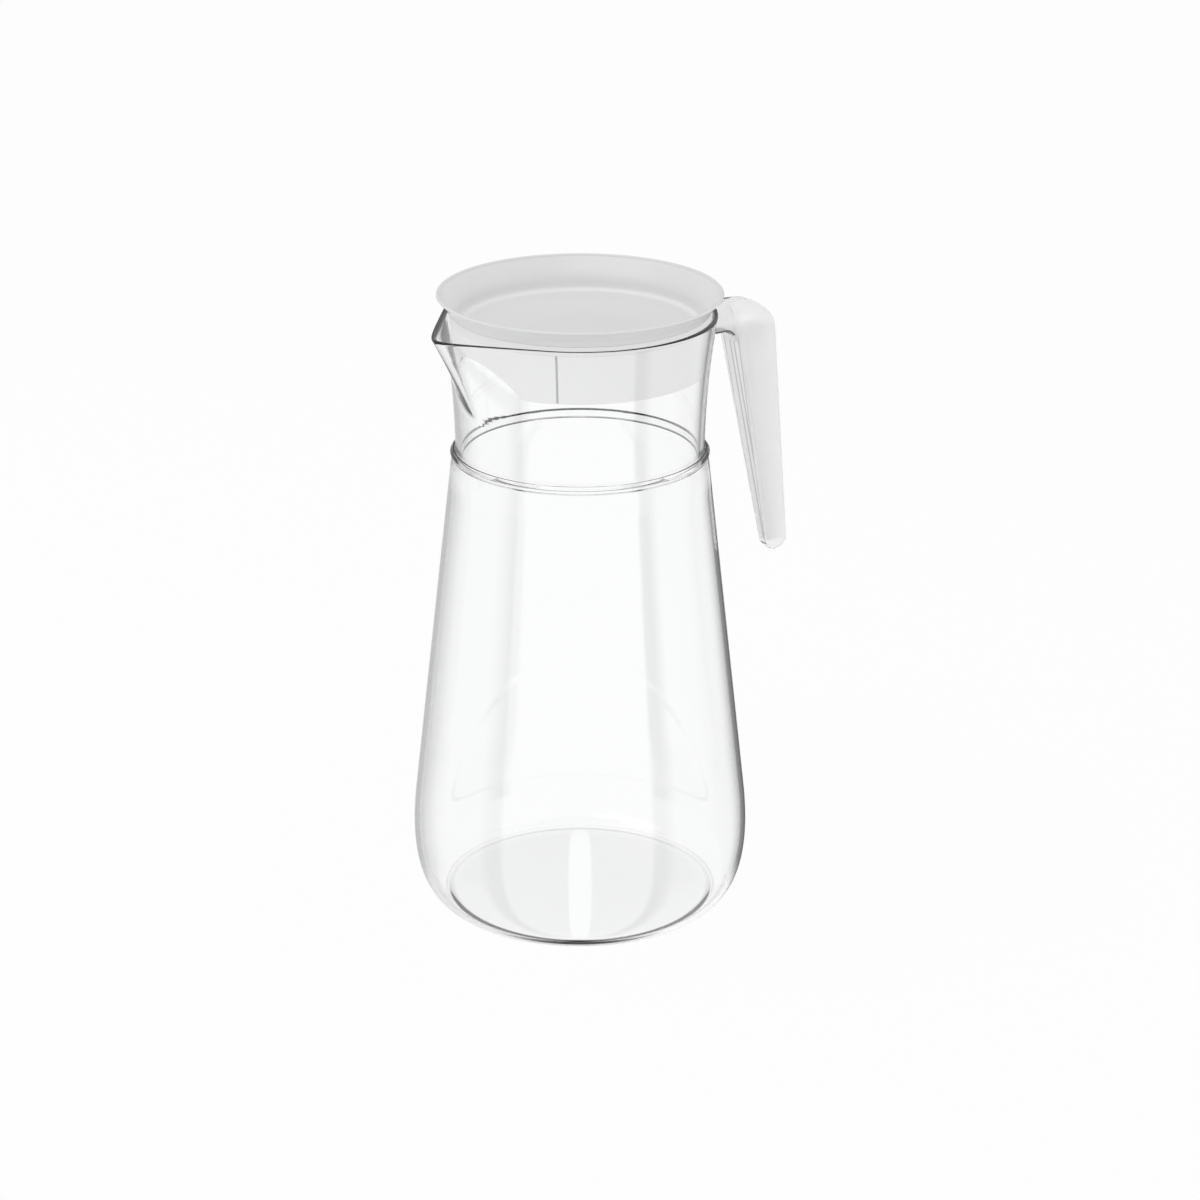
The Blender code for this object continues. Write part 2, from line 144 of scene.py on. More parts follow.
class Shading:
    """A node tree that is written as calls."""

    def __init__(self, tree: bpy.types.NodeTree) -> None:
        """Start from an empty tree."""
        self.tree = tree
        tree.nodes.clear()

    def node(self, kind: str, settings: dict[str, Any] | None = None,
             inputs: dict[Any, Any] | None = None, output: int | str = 0) -> Socket:
        """Add a node.

        Args:
            kind: Node type.
            settings: Attributes to set first. A ramp's stops go under "stops".
            inputs: Values or sockets, by input name or number.
            output: The output to return, by name or number.

        Returns:
            The chosen output.
        """
        made = self.tree.nodes.new(kind)
        for key, value in (settings or {}).items():
            if key == "stops":
                self._stops(made.color_ramp, value)
            else:
                setattr(made, key, value)
        for key, value in (inputs or {}).items():
            if isinstance(value, Socket):
                self.tree.links.new(value.link, made.inputs[key])
            else:
                made.inputs[key].default_value = value
        return Socket(self, made.outputs[output]) if len(made.outputs) else Socket(self, None)

    @staticmethod
    def _stops(ramp: bpy.types.ColorRamp, stops: Sequence[tuple[float, float]]) -> None:
        """Fill a ramp with grey stops.

        Args:
            ramp: The ramp to fill.
            stops: Place and grey level of each stop, in order.
        """
        while len(ramp.elements) < len(stops):
            ramp.elements.new(1.0)
        for element, (place, grey) in zip(ramp.elements, stops):
            element.position = place
            element.color = (grey, grey, grey, 1.0)

    def mix(self, share: Any, first: Colour | Socket, second: Colour) -> Socket:
        """Blend two colours.

        Args:
            share: How much of the second.
            first: Colour at 0.
            second: Colour at 1.

        Returns:
            The blended colour.
        """
        start = first if isinstance(first, Socket) else (*first, 1.0)
        return self.node("ShaderNodeMix", {"data_type": "RGBA"},
                         {0: share, 6: start, 7: (*second, 1.0)}, 2)

    def split(self, where: Socket) -> list[Socket]:
        """The three coordinates of a place."""
        made = self.node("ShaderNodeSeparateXYZ", None, {"Vector": where}).link.node
        return [Socket(self, output) for output in made.outputs]

    def line(self, value: Socket, middle: float, half: float) -> Socket:
        """A thin soft-edged line.

        Args:
            value: What is compared.
            middle: Where the line lies.
            half: Half of its width.

        Returns:
            1 on the line and 0 away from it.
        """
        return 1 - self.step((value - middle).size(), (half, 2 * half))

    def step(self, value: Socket, band: Point) -> Socket:
        """A soft step.

        Args:
            value: What is compared.
            band: Where the step starts and ends.

        Returns:
            0 below the band, 1 above it.
        """
        return self.node("ShaderNodeMapRange", {"interpolation_type": "SMOOTHSTEP"},
                         {"Value": value, "From Min": band[0], "From Max": band[1]})

    def place(self) -> Socket:
        """Object coordinates."""
        return self.node("ShaderNodeTexCoord", output="Object")

    def noise(self, where: Socket, scale: float, detail: float = 2.0, rough: float = 0.5) -> Socket:
        """Soft noise.

        Args:
            where: Coordinates.
            scale: Features per metre.
            detail: Octaves.
            rough: Weight of the finer octaves.

        Returns:
            A value from 0 to 1.
        """
        return self.node("ShaderNodeTexNoise", None,
                         {"Vector": where, "Scale": scale, "Detail": detail, "Roughness": rough})


@dataclass(frozen=True)
class Finish:
    """A moulded plastic or rubber surface."""

    name: str
    light: Colour
    shade: Colour
    gloss: Point                # roughness where it is glossiest and dullest
    grain_scale: float          # grains per metre
    grain_depth: float
    cloud_scale: float = 35.0   # clouds per metre
    cloud_detail: float = 3.0
    scuffs_per_cloud: float = 12.0
    scuff_detail: float = 4.0
    scuff_harshness: float = 0.6
    scuff_share: float = 0.6    # of the unevenness in the gloss
    index: float = 1.5
    clearness: float = 0.0
    cover: float = 1.0
    # Colour laid over the base where a mask says: painted highlight on the lid, painted shade in the
    # skirt's grooves, painted dark lines on the handle.
    painted_shading_colour: Colour = (0.10, 0.10, 0.11)

    def make(self, painted_shading: PaintedShading | None = None) -> bpy.types.Material:
        """Build the material.

        Args:
            painted_shading: Gives the share of the painted light-and-shade colour at each place.

        Returns:
            A Principled material with cloudy colour, uneven gloss and a fine moulded grain.
        """
        material = bpy.data.materials.new(self.name)
        material.use_nodes = True
        tree = Shading(material.node_tree)
        where = tree.place()
        cloud = tree.noise(where, self.cloud_scale, self.cloud_detail)
        scuff = tree.noise(where, self.cloud_scale * self.scuffs_per_cloud, self.scuff_detail,
                           self.scuff_harshness)
        low, high = self.gloss
        rough = low + (high - low) * (cloud * (1 - self.scuff_share) + scuff * self.scuff_share)
        grain = tree.noise(where, self.grain_scale)
        bump = tree.node("ShaderNodeBump", None,
                         {"Strength": 1.0, "Distance": self.grain_depth, "Height": grain})
        colour, cover = tree.mix(cloud, self.light, self.shade), self.cover
        # Painted light and shade over the base colour, where the mask says.
        if painted_shading:
            share = painted_shading(tree, where)
            colour = tree.mix(share, colour, self.painted_shading_colour)
            if cover < 1.0:
                cover = share * (1 - cover) + cover
        shader = tree.node("ShaderNodeBsdfPrincipled", None, {
            "Base Color": colour,
            "Roughness": rough,
            "IOR": self.index,
            "Transmission Weight": self.clearness,
            "Alpha": cover,
            "Normal": bump,
        })
        tree.node("ShaderNodeOutputMaterial", None, {"Surface": shader})
        return material


CLEAR = Finish("clear_plastic", (0.996, 0.998, 0.998), (0.990, 0.993, 0.993), (0.0, 0.015),
               28.0, 0.000004, index=1.49, clearness=1.0)
# The handle takes the default dark colour for painted shade lines where edges bend the light.
MILKY = Finish("milky_plastic", (0.99, 0.99, 0.992), (0.975, 0.975, 0.978), (0.03, 0.08),
               60.0, 0.00001, clearness=0.4, cover=0.6)
# Its last colour is a painted highlight for the corner of the dish.
LID_WHITE = Finish("lid_white", (0.76, 0.76, 0.765), (0.72, 0.72, 0.725), (0.20, 0.30),
                   2600.0, 0.000012, painted_shading_colour=(0.85, 0.85, 0.855))
# Its last colour is painted shade for the grooves of the skirt.
SKIRT_WHITE = Finish("skirt_white", (0.90, 0.90, 0.903), (0.87, 0.87, 0.873), (0.34, 0.46),
                     2600.0, 0.000010, painted_shading_colour=(0.55, 0.55, 0.555))
SOFT = Finish("soft_ring", (0.86, 0.86, 0.855), (0.82, 0.82, 0.815), (0.50, 0.66),
              3200.0, 0.000015, index=1.42)


@dataclass(frozen=True)
class Corner:
    """A profile point, with the radius that it is rounded to."""

    radius: float
    height: float
    rounding: float = 0.0


def arc(centre: Point, radius: float, start: float, end: float, steps: int) -> list[Point]:
    """Points on a circular arc.

    Args:
        centre: Middle of the circle.
        radius: Its radius.
        start: First angle, in degrees.
        end: Last angle, in degrees.
        steps: Number of spans.

    Returns:
        The points, both ends included.
    """
    angles = [math.radians(start + (end - start) * step / steps) for step in range(steps + 1)]
    return [(centre[0] + radius * math.cos(a), centre[1] + radius * math.sin(a)) for a in angles]


def sweep(start: Point, pull_start: Point, pull_end: Point, end: Point, steps: int) -> list[Point]:
    """Points on a cubic curve.

    Args:
        start: First point.
        pull_start: Control point after it.
        pull_end: Control point before the last.
        end: Last point.
        steps: Number of spans.

    Returns:
        The points, both ends included.
    """
    points = []
    for step in range(steps + 1):
        t = step / steps
        weights = ((1 - t) ** 3, 3 * t * (1 - t) ** 2, 3 * t ** 2 * (1 - t), t ** 3)
        pairs = list(zip(weights, (start, pull_start, pull_end, end)))
        points.append((sum(w * p[0] for w, p in pairs), sum(w * p[1] for w, p in pairs)))
    return points


def spread(start: float, end: float, steps: int) -> list[float]:
    """Evenly spaced values, both ends included."""
    return [start + (end - start) * step / steps for step in range(steps + 1)]


def inward(points: Sequence[Point], distance: float) -> list[Point]:
    """A curve moved to its left-hand side.

    Args:
        points: The curve.
        distance: How far it moves.

    Returns:
        The moved points.
    """
    moved = []
    for index, point in enumerate(points):
        before = points[max(index - 1, 0)]
        after = points[min(index + 1, len(points) - 1)]
        run = Vector((after[0] - before[0], after[1] - before[1])).normalized() * distance
        moved.append((point[0] - run.y, point[1] + run.x))
    return moved


class Workshop:
    """Mesh work that several pieces share."""

    TURN_STEPS = 256
    ROUND_STEPS = 5
    LONGEST_SPAN = 0.004
    WELD = 0.000001
    SHARP = math.radians(38)

    @classmethod
    def finish(cls, name: str, mesh: bmesh.types.BMesh) -> bpy.types.Object:
        """Close a mesh and put it in the scene.

        Args:
            name: Object name.
            mesh: The mesh, which is freed.

        Returns:
            The new object, at the origin.
        """
        bmesh.ops.remove_doubles(mesh, verts=mesh.verts, dist=cls.WELD)
        bmesh.ops.recalc_face_normals(mesh, faces=mesh.faces)
        data = bpy.data.meshes.new(name)
        mesh.to_mesh(data)
        mesh.free()
        made = bpy.data.objects.new(name, data)
        cls.crisp(made)
        bpy.context.scene.collection.objects.link(made)
        return made

    @classmethod
    def turned(cls, profile: Iterable[Corner | Point], closed: bool) -> bmesh.types.BMesh:
        """Turn a profile about the jug's axis.

        Args:
            profile: Points of (radius, height), outer side from top to bottom.
            closed: Whether the profile is a loop, which makes a ring.

        Returns:
            The turned mesh.
        """
        mesh = bmesh.new()
        corners = [p if isinstance(p, Corner) else Corner(*p) for p in profile]
        verts = [mesh.verts.new((c.radius, 0.0, c.height)) for c in corners]
        followers = verts[1:] + (verts[:1] if closed else [])
        for vert, after in zip(verts, followers):
            mesh.edges.new((vert, after))
        for vert, corner in zip(verts, corners):
            if corner.rounding > 0.0:
                bmesh.ops.bevel(mesh, geom=[vert], offset=corner.rounding, offset_type="OFFSET",
                                segments=cls.ROUND_STEPS, profile=0.5, affect="VERTICES", material=-1)
        for edge in list(mesh.edges):
            cuts = int(edge.calc_length() / cls.LONGEST_SPAN)
            if cuts:
                bmesh.ops.subdivide_edges(mesh, edges=[edge], cuts=cuts)
        bmesh.ops.spin(mesh, geom=mesh.verts[:] + mesh.edges[:], cent=(0, 0, 0), axis=(0, 0, 1),
                       angle=math.tau, steps=cls.TURN_STEPS, use_merge=True)
        bmesh.ops.remove_doubles(mesh, verts=mesh.verts, dist=cls.WELD)
        return mesh

    @staticmethod
    def bridged(rings: Sequence[Sequence[Vector]]) -> bmesh.types.BMesh:
        """Bridge rings of points into one closed body.

        Args:
            rings: Rings with equal numbers of points, in order.

        Returns:
            The body, with a face at each end.
        """
        mesh = bmesh.new()
        loops = []
        for ring in rings:
            verts = [mesh.verts.new(point) for point in ring]
            loops.append([mesh.edges.new(pair) for pair in zip(verts, verts[1:] + verts[:1])])
        for lower, upper in zip(loops, loops[1:]):
            bmesh.ops.bridge_loops(mesh, edges=lower + upper)
        bmesh.ops.contextual_create(mesh, geom=loops[0])
        bmesh.ops.contextual_create(mesh, geom=loops[-1])
        return mesh

    @staticmethod
    def slab(outline: Sequence[Point], thickness: float) -> bmesh.types.BMesh:
        """Thicken a flat outline to both sides of the XZ plane.

        Args:
            outline: Points of (x, z).
            thickness: Whole thickness.

        Returns:
            The slab.
        """
        mesh = bmesh.new()
        verts = [mesh.verts.new((x, -thickness / 2, z)) for x, z in outline]
        face = mesh.faces.new(verts)
        grown = bmesh.ops.extrude_face_region(mesh, geom=[face])["geom"]
        moved = [item for item in grown if isinstance(item, bmesh.types.BMVert)]
        bmesh.ops.translate(mesh, verts=moved, vec=(0.0, thickness, 0.0))
        return mesh

    @staticmethod
    def combine(piece: bpy.types.Object, tool: bpy.types.Object, cut: Cut) -> None:
        """Cut or join one solid with another, and delete the tool.

        Args:
            piece: The solid that changes.
            tool: The other solid.
            cut: What is done.
        """
        step = piece.modifiers.new(tool.name, "BOOLEAN")
        step.operation = cut.value
        step.solver = "EXACT"
        step.object = tool
        bpy.context.view_layer.update()
        graph = bpy.context.evaluated_depsgraph_get()
        result = bpy.data.meshes.new_from_object(piece.evaluated_get(graph))
        piece.modifiers.clear()
        piece.data = result
        bpy.data.objects.remove(tool, do_unlink=True)

    @classmethod
    def crisp(cls, piece: bpy.types.Object, sharp: float = SHARP) -> None:
        """Shade smooth, with edges over an angle kept crisp."""
        piece.data.shade_smooth()
        piece.data.set_sharp_from_angle(angle=sharp)


class Piece:
    """What the sub-assemblies share."""

    def settle(self, made: bpy.types.Object, node: str, carrier: Carrier, slot: str,
               finish: bpy.types.Material) -> bpy.types.Object:
        """Dress a piece and tie it to the CAD model.

        Args:
            made: The piece.
            node: CAD node that it stands for.
            carrier: Body that it rides on.
            slot: The record's material slot; not used.
            finish: Its material.

        Returns:
            The piece.
        """
        made.data.materials.clear()
        made.data.materials.append(finish)
        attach(made, carrier.value)
        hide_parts(node)
        LOG.info("%s: %d faces", made.name, len(made.data.polygons))
        return made

    @staticmethod
    def let_light_through(made: bpy.types.Object) -> None:
        """Let the studio's light reach what is behind clear plastic."""
        made.visible_shadow = False
        made.visible_diffuse = False


@dataclass
class Collar(Piece):
    """The flared neck, whose lip is drawn out to a spout."""

    foot: float = 0.1929
    rim: float = 0.2515
    neck_radius: float = 0.04985
    rim_radius: float = 0.0546
    wall: float = 0.0022
    lip_round: float = 0.0010
    foot_round: float = 0.00015
    spout_reach: float = 0.0182      # where its sides would meet, beyond the rim's circle
    spout_depth: float = 0.0360      # height over which it fades into the neck
    spout_tip_width: float = 0.0110
    crowding: float = 0.45           # how far the facets crowd towards the spout
    climb_steps: int = 40

    def outside(self, height: float) -> float:
        """Outside of the plain neck, which flares on an arc.

        Args:
            height: Where it is wanted.

        Returns:
            The radius.
        """
        rise = self.rim - self.foot
        flare = self.rim_radius - self.neck_radius
        bend = (rise ** 2 + flare ** 2) / (2 * flare)
        climb = min(max(height - self.foot, 0.0), rise)
        return self.neck_radius + bend - math.sqrt(bend ** 2 - climb ** 2)

    def bore(self, height: float) -> float:
        """Inside radius of the plain neck at a height."""
        return self.outside(height) - self.wall

    def draw_spout(self, mesh: bmesh.types.BMesh) -> None:
        """Draw the wall out to the spout on the -X side.

        Args:
            mesh: The turned neck.
        """
        for vert in mesh.verts:
            height = vert.co.z
            radius = math.hypot(vert.co.x, vert.co.y)
            turn = math.atan2(-vert.co.y, -vert.co.x)
            turn -= self.crowding * math.sin(turn)
            climb = min(max((height - self.rim) / self.spout_depth + 1.0, 0.0), 1.0)
            circle = self.outside(height)
            tangent = math.acos(circle / (circle + self.spout_reach * climb))
            away = math.hypot(turn, self.spout_tip_width / 2 / (circle + self.spout_reach))
            draw = circle / math.cos(max(tangent - away, 0.0)) - circle
            vert.co.x = -(radius + draw) * math.cos(turn)
            vert.co.y = -(radius + draw) * math.sin(turn)

    def build(self, finish: bpy.types.Material) -> None:
        """Make the neck.

        Args:
            finish: Its material.
        """
        heights = spread(self.foot, self.rim, self.climb_steps)
        inner = heights[1:-1]
        outside = [(self.outside(h), h) for h in reversed(inner)]
        inside = [(self.bore(h), h) for h in inner]
        profile = [Corner(self.bore(self.rim), self.rim, self.lip_round),
                   Corner(self.rim_radius, self.rim, self.lip_round), *outside,
                   Corner(self.neck_radius, self.foot, self.foot_round),
                   Corner(self.neck_radius - self.wall, self.foot, self.foot_round), *inside]
        mesh = Workshop.turned(profile, True)
        self.draw_spout(mesh)
        made = Workshop.finish("collar_clear", mesh)
        self.let_light_through(self.settle(made, "collar", Carrier.JUG, "clear_collar", finish))


@dataclass
class Body(Piece):
    """The tapering vessel."""

    collar: Collar
    height: float = 0.1962
    base_radius: float = 0.0510
    radius: float = 0.0680
    heel_height: float = 0.0483
    heel_reach: float = 0.0085
    heel_rise: float = 0.0410
    wall: float = 0.0019
    floor: float = 0.0026
    floor_overhang: float = 0.0016
    floor_round: float = 0.0012
    gutter_slope: float = 0.0034
    gutter_round: float = 0.0009
    bead_height: float = 0.0026
    bead_proud: float = 0.0005
    bead_land: float = 0.0002
    bead_bevel: float = math.radians(35)
    lip_wall: float = 0.00125
    joint_depth: float = 0.0036
    ledge_taper: float = 0.0085
    gap: float = 0.0003
    edge: float = 0.0003
    heel_steps: int = 48

    def profile(self) -> list[Corner | Point]:
        """The vessel's half section.

        Returns:
            Its corners and points, from the floor's middle round to the base's middle.
        """
        rebate = self.collar.neck_radius + self.gap
        top = rebate + self.lip_wall
        bead_foot = self.height - self.bead_height
        taper = Vector((top - self.radius, bead_foot - self.heel_height))
        pull = Vector((self.radius, self.heel_height)) - taper.normalized() * self.heel_rise
        heel = sweep((self.base_radius, 0.0), (self.base_radius + self.heel_reach, 0.0), tuple(pull),
                     (self.radius, self.heel_height), self.heel_steps)
        floor_edge = self.base_radius + self.floor_overhang
        gutter = floor_edge + self.gutter_slope
        inner_heel = [p for p in inward(heel, self.wall) if p[0] > gutter]
        ledge = self.height - self.joint_depth
        ledge_radius = self.collar.bore(self.collar.foot)
        taper_end = bead_foot - self.ledge_taper
        share = (taper_end - self.heel_height) / taper.y
        flank = self.bead_height / 3
        drop = self.bead_height - flank - self.bead_land
        bead = top + self.bead_proud
        return [
            (0.0, self.floor),
            Corner(floor_edge, self.floor, self.floor_round),
            Corner(gutter, self.wall, self.gutter_round),
            *inner_heel,
            Corner(self.radius + taper.x * share - self.wall, taper_end, 2 * self.wall),
            Corner(ledge_radius, ledge - self.gap, self.gap / 3),
            Corner(ledge_radius, ledge, self.gap / 3),
            Corner(rebate, ledge, self.gap / 2),
            Corner(rebate, self.height, self.edge / 3),
            Corner(bead - drop * math.tan(self.bead_bevel), self.height, self.edge / 3),
            Corner(bead, self.height - drop, self.edge / 4),
            Corner(bead, bead_foot + flank, self.edge / 4),
            Corner(top, bead_foot, self.edge),
            *reversed(heel),
            (0.0, 0.0),
        ]

    def build(self, finish: bpy.types.Material) -> None:
        """Make the vessel.

        Args:
            finish: Its material.
        """
        made = Workshop.finish("body_clear", Workshop.turned(self.profile(), False))
        self.let_light_through(self.settle(made, "body", Carrier.JUG, "clear_body", finish))


@dataclass
class Handle(Piece):
    """The arm off the collar and the tapering grip, hollowed from the jug's side."""

    collar: Collar
    drop: float = 0.0072
    arm_height: float = 0.0125
    arm_thickness: float = 0.0052
    arm_fillet: float = 0.0050
    finger_gap: float = 0.0222
    length: float = 0.1133
    lean: float = math.radians(11.2)
    depths: Point = (0.0186, 0.0110)   # at the top and at the tip
    width_top: float = 0.0068
    width_broad: float = 0.0174
    width_tip: float = 0.0060
    broad_drop: float = 0.0112
    shoulder: float = 0.0120
    tip_round: float = 0.0055
    corner: float = 0.0020
    wall: float = 0.0026
    side_wall: float = 0.0040
    gap: float = 0.0003
    line_depths: Point = (0.0023, 0.0041)   # painted shade lines on the walls of the hollow
    line_half: float = 0.0002
    line_edge: float = 0.05            # painted shade lines beside the hollow, in half widths of the grip
    line_share: float = 0.6
    painted_tip_shade: Point = (0.5, 0.8)       # where the painted shade above the tip fades, in half widths
    tip_flat: float = 0.02             # square of the share left flat at the tip
    corner_limit: float = 0.4          # of a section's sides
    crease: float = math.radians(30)
    corner_steps: int = 6
    tip_steps: int = 10
    bend_steps: int = 16
    grip_steps: int = 20
    seat_steps: int = 24

    @property
    def top(self) -> float:
        """Height of the handle's top."""
        return self.collar.rim - self.drop

    @property
    def tip(self) -> float:
        """Height of the grip's tip."""
        return self.top - self.length

    @property
    def underside(self) -> float:
        """Height of the arm's underside."""
        return self.top - self.arm_height

    def inner(self, height: float) -> float:
        """Distance of the grip's inner edge from the axis."""
        return self.collar.neck_radius + self.finger_gap + (self.top - height) * math.tan(self.lean)

    def width(self, drop: float) -> float:
        """Width of the grip.

        Args:
            drop: How far below its top.

        Returns:
            The width, which swells to the broadest place and then tapers.
        """
        if drop < self.broad_drop:
            swell = math.sin(math.pi / 2 * drop / self.broad_drop)
            return self.width_top + (self.width_broad - self.width_top) * swell
        taper = (drop - self.broad_drop) / (self.length - self.broad_drop)
        return self.width_broad + (self.width_tip - self.width_broad) * taper

    def section(self, height: float, hollow: bool = False) -> list[Vector]:
        """The grip's rounded section, or that of the hollow inside it.

        Args:
            height: Height of the section.
            hollow: Whether the hollow is wanted, which runs out past the inner edge.

        Returns:
            A ring of points.
        """
        drop = self.top - height
        inner = self.inner(height)
        outer = inner + self.depths[0] + (self.depths[1] - self.depths[0]) * drop / self.length
        over = max(height - (self.top - self.shoulder), 0.0)
        outer -= self.shoulder - math.sqrt(max(self.shoulder ** 2 - over ** 2, 0.0))
        width = self.width(drop)
        if hollow:
            width -= 2 * self.side_wall * width / self.width_broad
            inner -= 2 * self.corner
            outer -= self.wall
        else:
            under = max(self.tip + self.tip_round - height, 0.0) / self.tip_round
            shrink = math.sqrt(max(1.0 - under ** 2, self.tip_flat))
            middle = (inner + outer) / 2
            inner = middle + (inner - middle) * shrink
            outer = middle + (outer - middle) * shrink
            width *= shrink
        corner = min(self.corner, self.corner_limit * width, self.corner_limit * (outer - inner))
        ring = []
        for side, hand, start in ((1, 1, 0), (-1, 1, 90), (-1, -1, 180), (1, -1, 270)):
            middle = ((outer if side > 0 else inner) - side * corner, hand * (width / 2 - corner))
            ring += [Vector((x, y, height))
                     for x, y in arc(middle, corner, start, start + 90, self.corner_steps)]
        return ring

    def grip(self) -> bpy.types.Object:
        """Make the grip with its hollow.

        Returns:
            The grip.
        """
        shoulder_foot = self.top - self.shoulder
        tip_end = self.tip + self.tip_round
        tip = [tip_end - self.tip_round * math.cos(a)
               for a in spread(0.0, math.pi / 2, self.tip_steps)]
        bend = [shoulder_foot + self.shoulder * math.sin(a)
                for a in spread(0.0, math.pi / 2, self.bend_steps)]
        heights = tip + spread(tip_end, shoulder_foot, self.grip_steps)[1:-1] + bend
        made = Workshop.finish("handle_milky", Workshop.bridged([self.section(h) for h in heights]))
        hollow_foot = self.tip + self.wall + self.tip_round / 2
        hollow = [self.section(h, True) for h in spread(hollow_foot, self.underside, self.grip_steps)]
        Workshop.combine(made, Workshop.finish("grip_hollow", Workshop.bridged(hollow)), Cut.AWAY)
        return made

    def arm(self) -> bpy.types.Object:
        """Make the web that carries the grip, with a round under it.

        Returns:
            The web.
        """
        arm_top = self.top - self.gap
        fillet_foot = self.underside - self.arm_fillet
        edge = self.inner(fillet_foot)
        outline = [(self.collar.neck_radius, arm_top), (self.inner(self.top) + self.wall, arm_top),
                   (edge + self.depths[1] + self.wall, fillet_foot)]
        outline += arc((edge - self.arm_fillet, fillet_foot), self.arm_fillet, 0.0, 90.0,
                       self.bend_steps)
        outline.append((self.collar.neck_radius, self.underside))
        return Workshop.finish("handle_arm", Workshop.slab(outline, self.arm_thickness))

    def seat(self) -> bpy.types.Object:
        """Make the collar's outside, a gap larger, which trims the arm.

        Returns:
            A solid neck.
        """
        heights = spread(self.underside - self.arm_height, self.collar.rim, self.seat_steps)
        profile = [(0.0, heights[-1])]
        profile += [(self.collar.outside(h) + self.gap, h) for h in reversed(heights)]
        profile.append((0.0, heights[0]))
        return Workshop.finish("collar_seat", Workshop.turned(profile, False))

    def painted_grip_lines(self, tree: Shading, x: Socket, y: Socket, z: Socket) -> Socket:
        """Painted shade lines where the edges of the hollow bend the light.

        Args:
            tree: The material's nodes.
            x: Distance from the axis.
            y: Place across the grip.
            z: Height.

        Returns:
            1 on the painted shade above the tip, less on a painted line and 0 away from them.
        """
        drop = self.top - z
        slope = (self.width_tip - self.width_broad) / (self.length - self.broad_drop)
        across = y.size() * 2 / ((drop - self.broad_drop) * slope + self.width_broad)
        inward = x - self.inner(self.top) - drop * math.tan(self.lean)
        opening = 1 - 2 * self.side_wall / self.width_broad
        beside = opening + self.line_edge
        walls = 1 - tree.step(across, (opening + self.line_edge / 2, beside))
        face = 1 - tree.step(inward, (2 * self.gap, 4 * self.gap))
        # Painted shade lines on the walls of the hollow and beside it.
        lines = sum(tree.line(inward, place, self.line_half) for place in self.line_depths) * walls
        lines = lines + tree.line(across, beside, self.line_edge / 2) * face
        below = tree.step(drop, (self.arm_height, self.arm_height + self.arm_fillet))
        # Painted shade where the hollow ends, above the tip.
        tip = tree.line(z, self.tip + self.side_wall, self.gap) * face
        return lines * self.line_share * below + tip * (1 - tree.step(across, self.painted_tip_shade))

    def painted_arm_lines(self, tree: Shading, x: Socket, y: Socket, z: Socket) -> Socket:
        """Painted shade lines where the top and the underside of the arm bend the light.

        Args:
            tree: The material's nodes.
            x: Distance from the axis.
            y: Place across the arm.
            z: Height.

        Returns:
            1 on a line and 0 away from it.
        """
        foot = self.underside - self.arm_fillet
        past = (x - (self.inner(foot) - self.arm_fillet)).either(0.0)
        rise = (z - foot).either(0.0)
        half = self.arm_thickness / 2
        web = 1 - tree.step(y.size(), (half, half + self.gap))
        # Painted shade line along the round under the arm.
        under = tree.line(past.reach(rise) - self.arm_fillet, self.gap, self.gap)
        under = under * tree.step(rise, (half, half + self.gap)) * web
        start = self.inner(self.top)
        # Painted shade along the far half of the arm's top.
        crest = tree.step(y, (half / 2, half * 2 / 3))
        crest = crest * (1 - tree.step(self.top - z, (2 * self.gap, 4 * self.gap)))
        return under + crest * (1 - tree.step(x, (start + self.wall, start + self.shoulder / 2)))

    def lines(self, tree: Shading, where: Socket) -> Socket:
        """Fine painted shade lines where edges bend the light in the milky plastic.

        Args:
            tree: The material's nodes.
            where: Object coordinates.

        Returns:
            1 on the darkest line and 0 away from the lines.
        """
        place = tree.split(where)
        both = self.painted_grip_lines(tree, *place) + self.painted_arm_lines(tree, *place)
        return tree.node("ShaderNodeClamp", None, {"Value": both})

    def build(self, finish: bpy.types.Material) -> None:
        """Make the handle.

        Args:
            finish: Its material.
        """
        made = self.grip()
        Workshop.combine(made, self.arm(), Cut.JOIN)
        Workshop.combine(made, self.seat(), Cut.AWAY)
        Workshop.crisp(made, self.crease)
        self.settle(made, "handle", Carrier.JUG, "milky_handle", finish)


